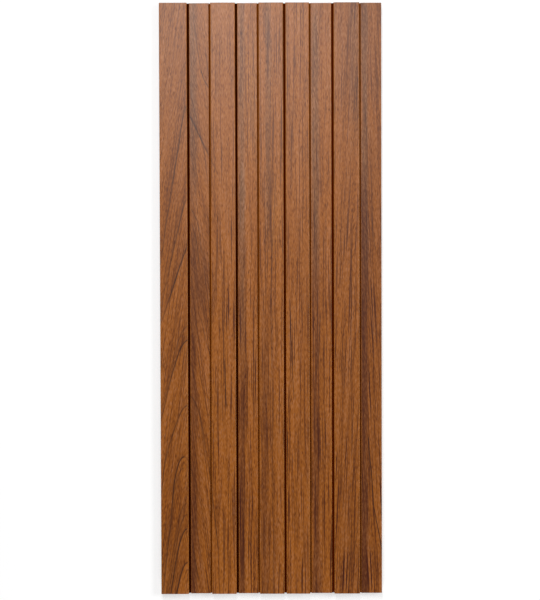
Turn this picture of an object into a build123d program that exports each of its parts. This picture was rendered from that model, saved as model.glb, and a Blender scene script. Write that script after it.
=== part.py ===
import os
from math import isclose

from build123d import *

# Slatted wall panel of wood-plastic composite, extruded in one piece and cut square.
# It lies on its flat back, with the slats along Y and the face up. All sizes are in mm.
PANEL_LENGTH = 600.0
PANEL_THICKNESS = 12.0  # from the back to the face of a raised slat
SLAT_STEP = 3.0  # how far the face of a sunk slat lies below a raised one
RAISED_ARRIS = 0.8  # rounding along both edges of a raised face
SUNK_ARRIS = 0.5  # rounding along both edges of a sunk face

# Widths of the slats. The one along the left edge of the panel is the widest.
EDGE_SLAT = 28.0
LEFT_SUNK_SLAT = 20.0
LEFT_RAISED_SLAT = 25.0
MIDDLE_RAISED_SLAT = 24.0
RIGHT_RAISED_SLAT = 26.0
RIGHT_SUNK_SLAT = 21.0

# A narrow shadow slot parts one strip of slats from the next.
SLOT_WIDTH = 2.25
SLOT_DEPTH = 5.0  # below the raised face
SLOT_FLOOR_RADIUS = 0.5

# Within a strip, a fine quirk runs along the foot of the step between its two slats.
QUIRK_WIDTH = 1.5
QUIRK_DEPTH = 2.2  # below the sunk face
QUIRK_FLOOR_RADIUS = 0.4

# The strips from left to right, each with the width and the level of its slats.
RAISED = "raised"
SUNK = "sunk"
STRIPS = (
    ((EDGE_SLAT, RAISED),),
    ((LEFT_SUNK_SLAT, SUNK), (LEFT_RAISED_SLAT, RAISED)),
    ((LEFT_SUNK_SLAT, SUNK), (LEFT_RAISED_SLAT, RAISED)),
    ((MIDDLE_RAISED_SLAT, RAISED), (RIGHT_SUNK_SLAT, SUNK)),
    ((RIGHT_RAISED_SLAT, RAISED), (RIGHT_SUNK_SLAT, SUNK)),
)

# Heights above the back of the faces and floors that the section is made of.
sunk_face = PANEL_THICKNESS - SLAT_STEP
slot_floor = PANEL_THICKNESS - SLOT_DEPTH
quirk_floor = sunk_face - QUIRK_DEPTH


def hollows():
    """Left side, right side and floor of each hollow in the face, and the whole width."""
    spans = []
    reach = 0.0
    for strip_number, strip in enumerate(STRIPS):
        if strip_number > 0:
            spans.append((reach, reach + SLOT_WIDTH, slot_floor))
            reach += SLOT_WIDTH
        for slat_number, (slat_width, level) in enumerate(strip):
            if slat_number > 0:
                spans.append((reach, reach + QUIRK_WIDTH, quirk_floor))
                reach += QUIRK_WIDTH
            if level == SUNK:
                spans.append((reach, reach + slat_width, sunk_face))
            reach += slat_width
    return spans, reach


def upright(left, right, floor):
    """A rectangle of the section from a floor up to the raised faces."""
    height = PANEL_THICKNESS - floor
    return Pos((left + right) / 2, floor + height / 2) * Rectangle(right - left, height)


def rounded(section, height, radius):
    """The section with every corner at one height rounded."""
    corners = [corner for corner in section.vertices() if isclose(corner.Y, height)]
    return fillet(corners, radius)


def panel_section():
    """The outline of the die: slats at two levels, slots between strips, quirks at the steps."""
    spans, panel_width = hollows()
    section = upright(0.0, panel_width, 0.0)
    for left, right, floor in spans:
        section -= upright(left, right, floor)
    section = rounded(section, PANEL_THICKNESS, RAISED_ARRIS)
    section = rounded(section, sunk_face, SUNK_ARRIS)
    section = rounded(section, slot_floor, SLOT_FLOOR_RADIUS)
    section = rounded(section, quirk_floor, QUIRK_FLOOR_RADIUS)
    return Pos(-panel_width / 2, 0.0) * section


def wall_panel():
    """The section drawn out along the slats, half the length to each side."""
    return extrude(Plane.XZ * panel_section(), amount=PANEL_LENGTH / 2, both=True)


os.makedirs("parts", exist_ok=True)
export_step(wall_panel(), "parts/wall_panel.step")
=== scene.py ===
from math import atan2, e, radians

import bmesh
import bpy
from mathutils import Euler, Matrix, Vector


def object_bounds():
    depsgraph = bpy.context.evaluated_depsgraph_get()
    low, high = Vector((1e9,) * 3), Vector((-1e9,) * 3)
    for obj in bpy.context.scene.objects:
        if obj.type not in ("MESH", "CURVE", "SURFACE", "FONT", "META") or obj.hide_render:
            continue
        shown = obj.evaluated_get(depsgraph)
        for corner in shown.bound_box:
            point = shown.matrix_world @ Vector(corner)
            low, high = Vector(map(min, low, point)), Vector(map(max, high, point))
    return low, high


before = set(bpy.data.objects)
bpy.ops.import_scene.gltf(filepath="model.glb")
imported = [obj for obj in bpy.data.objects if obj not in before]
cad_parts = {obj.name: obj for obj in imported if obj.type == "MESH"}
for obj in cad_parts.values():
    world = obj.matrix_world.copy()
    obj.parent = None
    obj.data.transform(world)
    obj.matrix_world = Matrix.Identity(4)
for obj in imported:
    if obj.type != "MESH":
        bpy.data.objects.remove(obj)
cad_low, cad_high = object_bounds()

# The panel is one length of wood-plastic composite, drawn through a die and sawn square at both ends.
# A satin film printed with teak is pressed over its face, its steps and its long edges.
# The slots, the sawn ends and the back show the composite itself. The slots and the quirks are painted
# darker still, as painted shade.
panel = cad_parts["wall_panel"]

# The section, in mm: how high its two levels lie above the back, and where slots and quirks run.
# A quirk is the fine groove along the foot of the step between the two slats of a strip.
MILLIMETRES = 1000.0  # in a metre
HALF_LENGTH = cad_high.y * MILLIMETRES
HALF_WIDTH = cad_high.x * MILLIMETRES
RAISED_HEIGHT = cad_high.z * MILLIMETRES
SLAT_STEP = 3.0
SUNK_HEIGHT = RAISED_HEIGHT - SLAT_STEP
EDGE_SLAT = 28.0
SECOND_SLAT = 20.0
LAST_SLAT = 21.0
SLOT_WIDTH = 2.25
QUIRK_WIDTH = 1.5
SLOT_PITCH = 48.75
STRIPS_BETWEEN = 3  # from the first slot to the last
FIRST_SLOT = EDGE_SLAT + SLOT_WIDTH / 2.0 - HALF_WIDTH
FIRST_QUIRK = FIRST_SLOT + SLOT_WIDTH / 2.0 + SECOND_SLAT + QUIRK_WIDTH / 2.0
LAST_SLOT = FIRST_SLOT + STRIPS_BETWEEN * SLOT_PITCH
LAST_QUIRK = HALF_WIDTH - LAST_SLAT - QUIRK_WIDTH / 2.0


class Field:
    """A number that changes over the panel, worked out by shader nodes."""

    def __init__(self, tree, socket):
        self.tree = tree
        self.socket = socket

    def feed(self, socket, value):
        if isinstance(value, Field):
            self.tree.links.new(value.socket, socket)
        else:
            socket.default_value = value

    def math(self, operation, *values):
        node = self.tree.nodes.new("ShaderNodeMath")
        node.operation = operation
        for socket, value in zip(node.inputs, values):
            self.feed(socket, value)
        return Field(self.tree, node.outputs[0])

    def __add__(self, other):
        return self.math("ADD", self, other)

    def __sub__(self, other):
        return self.math("SUBTRACT", self, other)

    def __rsub__(self, other):
        return self.math("SUBTRACT", other, self)

    def __mul__(self, other):
        return self.math("MULTIPLY", self, other)

    def __truediv__(self, other):
        return self.math("DIVIDE", self, other)

    def __abs__(self):
        return self.math("ABSOLUTE", self)

    def root(self):
        return self.math("SQRT", self)

    def larger(self, other):
        return self.math("MAXIMUM", self, other)

    def smaller(self, other):
        return self.math("MINIMUM", self, other)

    def scatter(self):
        """A random number from 0 to 1 for each whole step."""
        node = self.tree.nodes.new("ShaderNodeTexWhiteNoise")
        node.noise_dimensions = "1D"
        self.feed(node.inputs["W"], self.math("FLOOR", self))
        return Field(self.tree, node.outputs["Value"])

    def beside_nearest(self, first, pitch):
        """How far it is from the nearest of a row of places, one pitch apart."""
        return self.math("PINGPONG", self - first, pitch / 2.0)

    def rise(self, start, end):
        """Climbs smoothly from 0 at start to 1 at end."""
        node = self.tree.nodes.new("ShaderNodeMapRange")
        node.interpolation_type = "SMOOTHSTEP"
        self.feed(node.inputs["Value"], self)
        node.inputs["From Min"].default_value = start
        node.inputs["From Max"].default_value = end
        return Field(self.tree, node.outputs["Result"])

    def bell(self, centre, half_width):
        """1 at the centre, falling softly to about a third at the half width."""
        away = (self - centre) * (1.0 / half_width)
        return self.math("POWER", 1.0 / e, away * away)

    def band(self, centre, half_width):
        """As bell, with a flat top and steeper flanks."""
        away = (self - centre) * (1.0 / half_width)
        square = away * away
        return self.math("POWER", 1.0 / e, square * square)


def cloud(across, along, width, length, layer, detail=2.0):
    """Random spots of about that width and length, from -1 to 1. Each layer has its own spots."""
    tree = across.tree
    place = tree.nodes.new("ShaderNodeCombineXYZ")
    across.feed(place.inputs["X"], across * (1.0 / width))
    across.feed(place.inputs["Y"], along * (1.0 / length))
    place.inputs["Z"].default_value = layer
    spots = tree.nodes.new("ShaderNodeTexNoise")
    spots.inputs["Scale"].default_value = 1.0
    spots.inputs["Detail"].default_value = detail
    tree.links.new(place.outputs["Vector"], spots.inputs["Vector"])
    return Field(tree, spots.outputs["Fac"]) * 2.0 - 1.0


def card(red, green, blue):
    """Linear colour from the 0 to 255 values of a colour card, by the sRGB formula."""
    def linear(value):
        share = value / 255.0
        return share / 12.92 if share <= 0.04045 else ((share + 0.055) / 1.055) ** 2.4
    return (linear(red), linear(green), linear(blue), 1.0)


def layer_over(tree, under, over, share):
    """One colour laid over another, where the share is above 0."""
    mix = tree.nodes.new("ShaderNodeMix")
    mix.data_type = "RGBA"
    factor, first, second = mix.inputs[0], mix.inputs[6], mix.inputs[7]  # the sockets for colours
    tree.links.new(share.socket, factor)
    for socket, colour in ((first, under), (second, over)):
        if isinstance(colour, bpy.types.NodeSocket):
            tree.links.new(colour, socket)
        else:
            socket.default_value = colour
    return mix.outputs[2]


teak = bpy.data.materials.new("teak_composite")
teak.use_nodes = True
tree = teak.node_tree
shader = tree.nodes["Principled BSDF"]
position = tree.nodes.new("ShaderNodeTexCoord").outputs["Object"]
split = tree.nodes.new("ShaderNodeSeparateXYZ")
tree.links.new(position, split.inputs["Vector"])
x, y, z = (Field(tree, split.outputs[axis]) * MILLIMETRES for axis in "XYZ")

# The print is wrapped over the long edges, so it goes on down them.
EDGE_WRAP = 0.6
face_across = x + (z.smaller(SUNK_HEIGHT) - SUNK_HEIGHT) * EDGE_WRAP

# Nothing in the grain runs quite straight: how far rings and streaks stray, and how frayed streaks are.
RING_STRAY = 0.7
STREAK_STRAY = 1.6
STREAK_FRAY = 0.8
waver = cloud(face_across, y, width=9.0, length=45.0, layer=1.0)
ragged = cloud(face_across, y, width=1.2, length=14.0, layer=2.0)
ring_across = face_across + waver * RING_STRAY
across = face_across + waver * STREAK_STRAY + ragged * STREAK_FRAY

# The grain leans a little on some slats: where the slat starts and ends, and the lean.
PAST_EDGE = 130.0  # beyond the long edges and the print wrapped over them
LEANS = (
    (-PAST_EDGE, FIRST_SLOT, -0.13),
    (FIRST_SLOT, FIRST_QUIRK, 0.12),
    (LAST_SLOT, LAST_QUIRK, -0.045),
    (LAST_QUIRK, PAST_EDGE, 0.045),
)
LEAN_BLEND = 0.5  # half the width over which one lean passes into the next
fibre = ring_across
for slat_left, slat_right, lean in LEANS:
    past_left = face_across.rise(slat_left - LEAN_BLEND, slat_left + LEAN_BLEND)
    short_of_right = face_across.rise(slat_right + LEAN_BLEND, slat_right - LEAN_BLEND)
    on_slat = past_left * short_of_right
    fibre = fibre + y * lean * on_slat

# Growth rings arch round the heart of the tree, near the first slot: how high the top of the arch lies,
# how steep its flanks are, how far from the heart they bend over, and how strongly it shows left and
# right of the heart.
HEART = -85.5
RINGS = (
    (195.0, 6.2, 1.5, 0.8, 0.0),
    (192.0, 2.1, 1.0, 0.0, 0.9),
    (101.0, 4.1, 1.5, 0.7, 0.0),
    (52.0, 2.8, 1.0, 1.0, 0.0),
    (-27.0, 11.3, 40.0, 0.5, 0.0),
    (-41.0, 10.7, 40.0, 1.0, 0.0),
    (-98.0, 10.4, 40.0, 0.0, 0.6),
    (-108.0, 13.3, 40.0, 0.7, 0.0),
    (-160.0, 19.5, 40.0, 1.0, 0.4),
    (-171.5, 16.0, 40.0, 0.45, 0.0),
    (-208.0, 17.8, 40.0, 0.5, 0.0),
    (-219.0, 18.6, 40.0, 0.6, 0.2),
    (-233.5, 19.0, 40.0, 1.0, 0.0),
    (-268.0, 20.0, 40.0, 1.0, 0.0),
)
RING_LINE = 0.65
RING_SOFTNESS = 0.4
RING_SHADE = 6.0  # how far the darker wood outside a ring reaches
RING_REACH = 27.0
RING_BREAK = 0.4  # how unevenly the line shows along its length
HEART_CORE = 1.0  # half the width over which the left side passes into the right

# The heart itself strays to the right a little below the middle of the panel, and to the left further
# down: how far, how high that lies, and over what half length.
RIGHT_STRAY, RIGHT_STRAY_MIDDLE, RIGHT_STRAY_REACH = 2.0, -30.0, 70.0
LEFT_STRAY, LEFT_STRAY_MIDDLE, LEFT_STRAY_REACH = 3.5, -170.0, 35.0
to_right = y.bell(RIGHT_STRAY_MIDDLE, RIGHT_STRAY_REACH) * RIGHT_STRAY
to_left = y.bell(LEFT_STRAY_MIDDLE, LEFT_STRAY_REACH) * LEFT_STRAY
heart_sway = to_right - to_left
away = ring_across - HEART - heart_sway
away_square = away * away
right_of_heart = away.rise(-HEART_CORE, HEART_CORE)
round_heart = away.band(0.0, RING_REACH)
ring_edges = None
ring_shades = None
for top, slope, bend, left_share, right_share in RINGS:
    arm = (away_square + bend ** 2).root()
    steepness = (away_square / (arm * arm) * slope ** 2 + 1.0).root()
    outside = ((arm - bend) * slope + y - top) / steepness
    share = (right_of_heart * (right_share - left_share) + left_share) * round_heart
    edge = outside.bell(0.0, RING_LINE) * share
    fade = outside.math("POWER", 1.0 / e, outside.larger(0.0) * (1.0 / RING_SHADE))
    shade = outside.rise(-RING_SOFTNESS, RING_SOFTNESS) * fade * share
    ring_edges = edge if ring_edges is None else ring_edges.larger(edge)
    ring_shades = shade if ring_shades is None else ring_shades.larger(shade)
uneven = cloud(fibre, y, width=5.0, length=30.0, layer=10.0)
rings = ring_edges * (uneven * RING_BREAK + 1.0)

# Between the rings lie finer arches of the same kind.
ARCH_SLOPE = 4.5
ARCH_BEND = 3.0
arch = (away_square + ARCH_BEND ** 2).root() * ARCH_SLOPE + y
arched_fibres = cloud(arch, away, width=5.0, length=40.0, layer=13.0) * round_heart

# Streaks of pale, of grey and of dark wood that run with the slats: where the middle is, the half width,
# the upper and the lower end, and how strongly it shows. All but the last are in mm.
PAST_END = 40.0
TOP = HALF_LENGTH + PAST_END
FOOT = -TOP
PALE_STREAKS = (
    (-19.0, 5.5, 250.0, 150.0, 0.5),
    (5.5, 6.0, 110.0, 60.0, 0.45),
)
GREY_STREAKS = (
    (-78.5, 4.5, TOP, 120.0, 0.5),
    (-29.5, 3.5, TOP, -60.0, 0.42),
    (-29.5, 3.5, 150.0, 50.0, 0.75),
    (-2.5, 3.0, TOP, 60.0, 0.4),
    (45.0, 4.4, 300.0, 20.0, 0.55),
    (85.0, 5.0, 330.0, 170.0, 0.35),
    (95.5, 3.4, TOP, 20.0, 0.6),
)
# On the first slat and the two last ones, the dark streaks are stronger near the top end. There they are
# painted shade, darkening those slats where the sheen shows weaker.
DARK_STREAKS_AND_SHADE = (
    (54.0, 7.0, TOP, 230.0, 0.14),
    (-99.0, 15.0, TOP, 120.0, 0.08),
    (-71.0, 8.5, 60.0, -30.0, 0.65),
    (-79.5, 3.5, 160.0, 90.0, 0.35),
    (-78.5, 3.6, 80.0, FOOT, 0.75),
    (-79.5, 3.6, -160.0, FOOT, 0.9),
    (-74.0, 5.0, -140.0, FOOT, 0.28),
    (-29.5, 4.0, 60.0, -110.0, 0.15),
    (-30.0, 3.4, -70.0, FOOT, 0.78),
    (-6.5, 4.2, -20.0, FOOT, 0.55),
    (45.5, 4.0, 70.0, -80.0, 0.55),
    (45.5, 4.0, -80.0, FOOT, 0.72),
    (94.5, 4.2, 130.0, FOOT, 0.95),
    (41.0, 16.0, 60.0, FOOT, 0.15),
    (-1.0, 12.0, -120.0, FOOT, 0.15),
    (78.0, 12.0, TOP, 190.0, 0.36),
    (78.0, 12.0, 190.0, -40.0, 0.14),
    (78.0, 12.0, -40.0, FOOT, 0.22),
    (104.0, 13.0, TOP, 190.0, 0.4),
    (104.0, 13.0, 190.0, -200.0, 0.3),
    (104.0, 13.0, -200.0, FOOT, 0.18),
)
STREAK_END = 45.0  # half the length over which a streak fades out
STREAK_BREAK = 0.8  # how unevenly a streak shows


def lengthwise(upper, lower, fade):
    """1 between an upper and a lower end, fading out past both."""
    return y.rise(lower - fade, lower + fade) * y.rise(upper + fade, upper - fade)


def streaks(listed, layer):
    """The strongest of the listed streaks, broken up along the grain."""
    total = None
    for middle, half_width, upper, lower, share in listed:
        streak = across.band(middle, half_width) * lengthwise(upper, lower, STREAK_END) * share
        total = streak if total is None else total.larger(streak)
    broken = cloud(fibre, y, width=1.8, length=60.0, layer=layer) * STREAK_BREAK + 1.0
    return total * broken


pale = streaks(PALE_STREAKS, layer=14.0)
grey = streaks(GREY_STREAKS, layer=11.0)
dark_and_shade = streaks(DARK_STREAKS_AND_SHADE, layer=12.0)

# Fine lines: where the upper and the lower end are, across and along, and how strongly the line shows.
FINE_LINES = (
    (-78.5, 290.0, -73.5, 254.0, 0.4),
    (-73.5, 254.0, -71.0, 234.0, 0.6),
    (-71.0, 234.0, -67.5, 222.7, 0.9),
    (-67.5, 222.7, -62.2, 214.3, 0.9),
    (-80.6, 91.6, -77.6, 86.5, 0.9),
    (-77.6, 86.5, -74.5, 79.4, 0.9),
    (-74.5, 79.4, -72.6, 69.2, 0.8),
    (-72.6, 69.2, -70.7, 49.0, 0.5),
    (-80.7, 77.3, -77.7, 69.2, 0.6),
    (-77.7, 69.2, -74.8, 54.0, 0.6),
    (-74.8, 54.0, -73.0, 37.0, 0.5),
    (-72.2, -17.2, -69.2, -27.3, 0.55),
    (-69.2, -27.3, -66.3, -42.6, 0.55),
    (-66.3, -42.6, -63.2, -52.7, 0.55),
    (-48.2, -20.0, -47.8, -60.0, 0.5),
    (-47.8, -60.0, -45.6, -110.0, 0.95),
    (-63.8, -166.0, -54.3, -255.0, 0.7),
    (-54.3, -255.0, -53.0, -300.0, 0.6),
    (-80.9, -250.0, -74.6, -285.0, 0.7),
    (5.2, 126.0, 0.3, 24.0, 0.6),
    (0.3, 24.0, 1.2, -150.0, 0.6),
    (1.2, -150.0, 1.8, -310.0, 0.6),
    (18.9, 0.0, 22.8, -100.0, 0.65),
    (24.7, -180.0, 26.6, -255.0, 0.4),
    (49.9, -15.0, 47.0, -72.0, 0.6),
    (81.5, 60.0, 81.8, -160.0, 0.45),
    (89.0, -200.0, 86.8, -240.0, 0.6),
    (86.8, -240.0, 82.5, -262.0, 0.6),
    (82.0, -235.0, 76.8, -310.0, 0.5),
    (102.2, 85.0, 106.3, 50.0, 0.5),
    (98.7, -140.0, 104.3, -212.0, 1.0),
    (104.3, -212.0, 112.0, -254.0, 1.0),
)
FINE_LINE = 0.5
LINE_END = 3.0


def fine_lines(listed):
    """The strongest of the listed lines."""
    total = None
    for upper_across, upper, lower_across, lower, share in listed:
        lean = (upper_across - lower_across) / (upper - lower)
        beside = ring_across - y * lean
        drawn = beside.bell(upper_across - upper * lean, FINE_LINE)
        line = drawn * lengthwise(upper, lower, LINE_END) * share
        total = line if total is None else total.larger(line)
    return total


lines = rings.larger(fine_lines(FINE_LINES))

# Fibres lie side by side along the grain in narrow strands. Some hold long dark vessels, and all have
# pores, which are short dark dashes. Between them the wood is smooth and finely speckled.
STRAND_WIDTH = 0.6
STRAND_SPREAD = 1000.0  # so far apart that no two strands hold the same spots
STRAND_SHIFT = 0.7  # each strand starts elsewhere along the grain, so that the spots form no rows
strand = (fibre * (1.0 / STRAND_WIDTH)).scatter() * STRAND_SPREAD
along_strand = y + strand * STRAND_SHIFT
PORE_START, PORE_FULL = 0.08, 0.55
ROSY_START, ROSY_FULL = -0.1, 0.6
speckle = cloud(strand, along_strand, width=1.0, length=4.0, layer=21.0, detail=0.0)
figure = cloud(fibre, y, width=5.0, length=170.0, layer=24.0)
long_fibres = cloud(strand, along_strand, width=1.0, length=85.0, layer=22.0, detail=1.0)
dashes = cloud(strand, along_strand, width=1.0, length=7.0, layer=23.0, detail=1.0)
pores = dashes.rise(PORE_START, PORE_FULL)
rosy = cloud(fibre, y, width=4.0, length=120.0, layer=25.0).rise(ROSY_START, ROSY_FULL)

# The vessels are fainter near the top end. Round the heart, arched ones take the place of some.
VESSEL_START, VESSEL_FULL = 0.02, 0.36
FEWER_AT_HEART = 0.3
TOP_VESSELS = 0.65
STRONGER_BELOW = 0.35
FAINT_DOWN_TO, STRONG_UP_TO = 260.0, -120.0
ARCH_START, ARCH_FULL = 0.0, 0.45
TOP_ARCHES = 0.5
ARCHES_BELOW = 0.1
FAINT_ARCHES_DOWN_TO, STRONG_ARCHES_UP_TO = 250.0, 0.0
straight_vessels = long_fibres.rise(VESSEL_START, VESSEL_FULL) * (1.0 - round_heart * FEWER_AT_HEART)
straight_share = y.rise(FAINT_DOWN_TO, STRONG_UP_TO) * STRONGER_BELOW + TOP_VESSELS
arched_share = y.rise(FAINT_ARCHES_DOWN_TO, STRONG_ARCHES_UP_TO) * ARCHES_BELOW + TOP_ARCHES
arched_vessels = arched_fibres.rise(ARCH_START, ARCH_FULL) * round_heart * arched_share
vessels = (straight_vessels * straight_share).larger(arched_vessels)

# How light the wood is between vessels and pores, from 0 to 1.
MIDDLE_TONE = 0.5
SPECKLE_TONE = 0.45
FIGURE_TONE = 0.35
FIBRE_TONE = 0.15
RING_TONE = 0.08
tone = speckle * SPECKLE_TONE + figure * FIGURE_TONE - long_fibres * FIBRE_TONE
tone = tone - ring_shades * RING_TONE + MIDDLE_TONE


def tones(dark_tone, middle_tone, light_tone):
    """The colour of one kind of wood, from its dark fibres to its light ones."""
    ramp = tree.nodes.new("ShaderNodeValToRGB")
    stops = ramp.color_ramp.elements
    stops[0].color = dark_tone
    stops[1].color = light_tone
    stops.new(0.5).color = middle_tone
    tree.links.new(tone.socket, ramp.inputs["Fac"])
    return ramp.outputs["Color"]


TEAK = tones(card(106, 48, 2), card(156, 88, 18), card(178, 116, 72))
ROSEWOOD = tones(card(103, 48, 9), card(152, 85, 32), card(174, 112, 78))
ROSEWOOD_SHARE = 0.3
PALE_WOOD = tones(card(125, 66, 18), card(180, 112, 42), card(200, 142, 100))
GREY_WOOD = tones(card(64, 38, 22), card(106, 70, 44), card(152, 114, 86))
HEARTWOOD = tones(card(48, 19, 2), card(94, 44, 8), card(132, 81, 42))
RING_HEARTWOOD = 0.5  # the share of heartwood outside a ring
VESSEL_BROWN = card(66, 20, 1)
PORE_SHARE = 0.65
RING_BROWN = card(54, 23, 8)
LINE_SHARE = 0.95

colour = layer_over(tree, TEAK, ROSEWOOD, rosy * ROSEWOOD_SHARE)
colour = layer_over(tree, colour, PALE_WOOD, pale)
colour = layer_over(tree, colour, GREY_WOOD, grey)
# Dark streaks, with their painted shade at the top of the outer slats, and the darker wood outside the
# rings.
colour = layer_over(tree, colour, HEARTWOOD, dark_and_shade.larger(ring_shades * RING_HEARTWOOD))
colour = layer_over(tree, colour, VESSEL_BROWN, vessels.larger(pores * PORE_SHARE))
colour = layer_over(tree, colour, RING_BROWN, lines * LINE_SHARE)

# Along the arrises of the slats the film is painted lighter amber, a painted highlight where the rounded
# edges catch the light:
# how far below the face it starts to, does so fully, begins to fade and ends.
ARRIS_HIGHLIGHT_AMBER = card(200, 130, 58)
ARRIS_HIGHLIGHT_SHARE = 0.5
RAISED_ARRIS_HIGHLIGHT = (0.8, 0.55, 0.15, 0.02)
SUNK_ARRIS_HIGHLIGHT = (0.5, 0.35, 0.1, 0.02)


def highlight_band(face, start, full, fading, end):
    """1 along a painted arris highlight, between two depths below a face."""
    return z.rise(face - start, face - full) * z.rise(face - end, face - fading)


arris_highlights = highlight_band(RAISED_HEIGHT, *RAISED_ARRIS_HIGHLIGHT) + highlight_band(SUNK_HEIGHT, *SUNK_ARRIS_HIGHLIGHT)
# The painted arris highlight is laid over the film here.
colour = layer_over(tree, colour, ARRIS_HIGHLIGHT_AMBER, arris_highlights * ARRIS_HIGHLIGHT_SHARE)

# Bare composite is dark brown with pale specks of wood flour. Inside the grooves the colour is darker
# still: painted shade.
SAWN_EDGE = 0.06
COMPOSITE = card(92, 58, 36)
WOOD_FLOUR = card(146, 104, 66)
FLOUR_SHARE = 0.6
CLUMPS = 0.4  # how much the specks gather in clumps
SPECK_START, SPECK_FULL = 0.15, 0.75
SPECK_SLANT = 1.7  # keeps the specks of the face, the back and the ends apart
# The slot browns are painted shade in the narrow slots. Right of the middle, the slots' painted shade is
# a lighter rust.
SLOT_SHADE_BROWN = card(48, 9, 0)
SLOT_SHADE_RUST = card(80, 22, 0)  # between two raised slats, right of the middle
MIDDLE_BLEND = 1.0
# Painted shade along the quirks, darker than the film.
QUIRK_SHADE_BROWN = card(112, 52, 10)
GROOVE_START, GROOVE_FULL = 0.5, 1.0  # below the sunk faces
SLOT_REACH = 1.4  # to each side of its middle
SLOT_END = 1.9
WRAPPED_EDGE = 0.1
WRAP_END = 0.4
inside = abs(x).rise(HALF_WIDTH - WRAPPED_EDGE, HALF_WIDTH - WRAP_END)
in_groove = z.rise(SUNK_HEIGHT - GROOVE_START, SUNK_HEIGHT - GROOVE_FULL) * inside
in_slot = in_groove * x.beside_nearest(FIRST_SLOT, SLOT_PITCH).rise(SLOT_END, SLOT_REACH)
sawn = abs(y).rise(HALF_LENGTH - SAWN_EDGE, HALF_LENGTH - SAWN_EDGE / 2.0)
bare = sawn.larger(z.rise(SAWN_EDGE, SAWN_EDGE / 2.0))
grains = cloud(x, y + z * SPECK_SLANT, width=1.3, length=1.3, layer=31.0)
clumps = cloud(x, y + z, width=5.0, length=5.0, layer=32.0)
specks = (grains + clumps * CLUMPS).rise(SPECK_START, SPECK_FULL)
composite = layer_over(tree, COMPOSITE, WOOD_FLOUR, specks * FLOUR_SHARE)
slot_shade_colour = layer_over(tree, SLOT_SHADE_BROWN, SLOT_SHADE_RUST, x.rise(-MIDDLE_BLEND, MIDDLE_BLEND))
# The painted shade of the grooves is laid on here, with the slots over the quirks.
colour = layer_over(tree, colour, QUIRK_SHADE_BROWN, in_groove)
colour = layer_over(tree, colour, slot_shade_colour, in_slot)
colour = layer_over(tree, colour, composite, bare)
tree.links.new(colour, shader.inputs["Base Color"])

# The composite is matt. The film's satin gloss is a coat on it, a little duller at the pores.
FILM_ROUGHNESS = 0.38
FIBRE_ROUGHNESS = 0.05
PORE_ROUGHNESS = 0.1
BARE_ROUGHNESS = 1.0
FILM_IOR = 1.455
PORE_DULLING = 0.3
film_roughness = long_fibres * FIBRE_ROUGHNESS + FILM_ROUGHNESS + pores * PORE_ROUGHNESS
bared = bare.larger(in_groove)
roughness = film_roughness + (BARE_ROUGHNESS - film_roughness) * bared
film = (1.0 - pores * PORE_DULLING) * (1.0 - bared)
tree.links.new(roughness.socket, shader.inputs["Roughness"])
tree.links.new(film.socket, shader.inputs["Coat Weight"])
shader.inputs["Specular IOR Level"].default_value = 0.0
shader.inputs["Coat Roughness"].default_value = FILM_ROUGHNESS
shader.inputs["Coat IOR"].default_value = FILM_IOR

# The pores are pressed into the film, and the bare composite is rough from the saw and the die.
PORE_DEPTH = 0.00006  # in metres
RELIEF_STRENGTH = 0.5
FIBRE_RELIEF = 0.3
relief = tree.nodes.new("ShaderNodeBump")
relief.inputs["Strength"].default_value = RELIEF_STRENGTH
relief.inputs["Distance"].default_value = PORE_DEPTH
height = long_fibres * FIBRE_RELIEF - pores
height = height + (specks - height) * bared
tree.links.new(height.socket, relief.inputs["Height"])
tree.links.new(relief.outputs["Normal"], shader.inputs["Normal"])
panel.material_slots[0].material = teak

# The floor is a plain pale sheet under the panel, far wider than any view.
# It is matt, keeps the panel's shadow and shows white wherever nothing shades it.
FLOOR_RADIUS = 40.0
FLOOR_SIDES = 96
FLOOR_COLOUR = (0.64, 0.64, 0.64, 1.0)
FLOOR_WHITE = 0.43
sheet = bmesh.new()
bmesh.ops.create_circle(sheet, cap_ends=True, radius=FLOOR_RADIUS, segments=FLOOR_SIDES)
floor_mesh = bpy.data.meshes.new("floor")
sheet.to_mesh(floor_mesh)
sheet.free()
floor = bpy.data.objects.new("floor", floor_mesh)
bpy.context.scene.collection.objects.link(floor)
paper = bpy.data.materials.new("floor_paper")
paper.use_nodes = True
paper_tree = paper.node_tree
paper_shader = paper_tree.nodes["Principled BSDF"]
paper_shader.inputs["Base Color"].default_value = FLOOR_COLOUR
paper_shader.inputs["Roughness"].default_value = 1.0
paper_shader.inputs["Specular IOR Level"].default_value = 0.0
paper_shader.inputs["Emission Color"].default_value = (1.0, 1.0, 1.0, 1.0)
rays = paper_tree.nodes.new("ShaderNodeLightPath")
seen = Field(paper_tree, rays.outputs["Is Camera Ray"])
for kind in ("Is Glossy Ray", "Is Transmission Ray"):
    seen = seen.larger(Field(paper_tree, rays.outputs[kind]))
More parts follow.
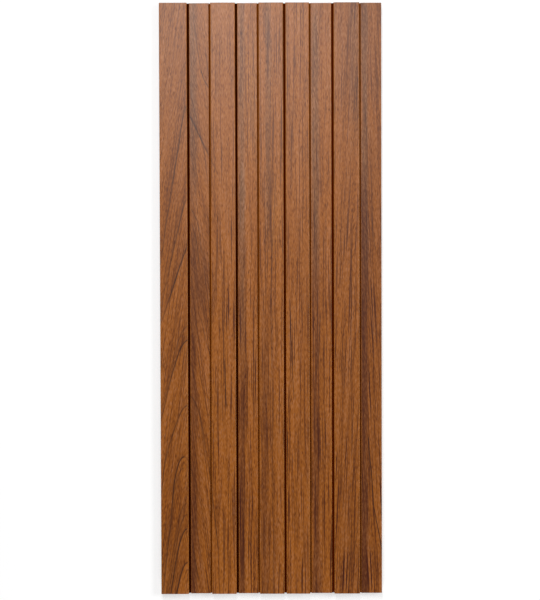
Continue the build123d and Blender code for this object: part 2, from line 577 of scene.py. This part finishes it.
paper_tree.links.new((seen * FLOOR_WHITE).socket, paper_shader.inputs["Emission Strength"])
floor_mesh.materials.append(paper)

# Soft studio light: a large softbox beyond the top end, which the satin film mirrors near that end,
# and weaker fills from the right and from beyond the bottom end, with a dim grey room around them.
ROOM_GREY = 0.05
world = bpy.data.worlds.new("studio")
world.use_nodes = True
world.node_tree.nodes["Background"].inputs["Color"].default_value = (1.0, 1.0, 1.0, 1.0)
world.node_tree.nodes["Background"].inputs["Strength"].default_value = ROOM_GREY
bpy.context.scene.world = world

# Where each softbox hangs, its width and height, and its watts.
SOFTBOXES = (
    ("key_softbox", (-0.12, 0.78, 1.22), (0.4, 1.03), 13.5),
    ("right_fill", (1.15, 0.2, 1.37), (0.6, 0.6), 11.0),
    ("bottom_fill", (-0.15, -1.6, 0.9), (1.0, 0.7), 15.5),
)
for name, place, (width, height), watts in SOFTBOXES:
    lamp = bpy.data.lights.new(name, "AREA")
    lamp.shape = "RECTANGLE"
    lamp.size = width
    lamp.size_y = height
    lamp.energy = watts
    softbox = bpy.data.objects.new(name, lamp)
    softbox.location = place
    softbox.rotation_euler = (-Vector(place)).to_track_quat("-Z", "Y").to_euler()
    bpy.context.scene.collection.objects.link(softbox)

# The camera looks straight down on the face from above, a little nearer to the top end.
# The sensor's long side is the picture's height.
CAMERA_HEIGHT = 1.5
CAMERA_LEAN = 0.031
AIM = Vector((-0.0009, -0.0007, 0.009))
VIEW_HEIGHT = 0.6098  # of the picture, at the height of the sunk faces
CAMERA_ROLL = radians(-0.165)
SENSOR = 36.0
lens = bpy.data.cameras.new("camera")
lens.sensor_width = SENSOR
camera = bpy.data.objects.new("camera", lens)
camera.location = (AIM.x, CAMERA_LEAN, CAMERA_HEIGHT)
reach = CAMERA_HEIGHT - AIM.z
lens.lens = SENSOR * reach / VIEW_HEIGHT
camera.rotation_euler = Euler((-atan2(CAMERA_LEAN - AIM.y, reach), 0.0, CAMERA_ROLL))
bpy.context.scene.collection.objects.link(camera)
bpy.context.scene.camera = camera
bpy.context.scene.view_settings.view_transform = "Standard"
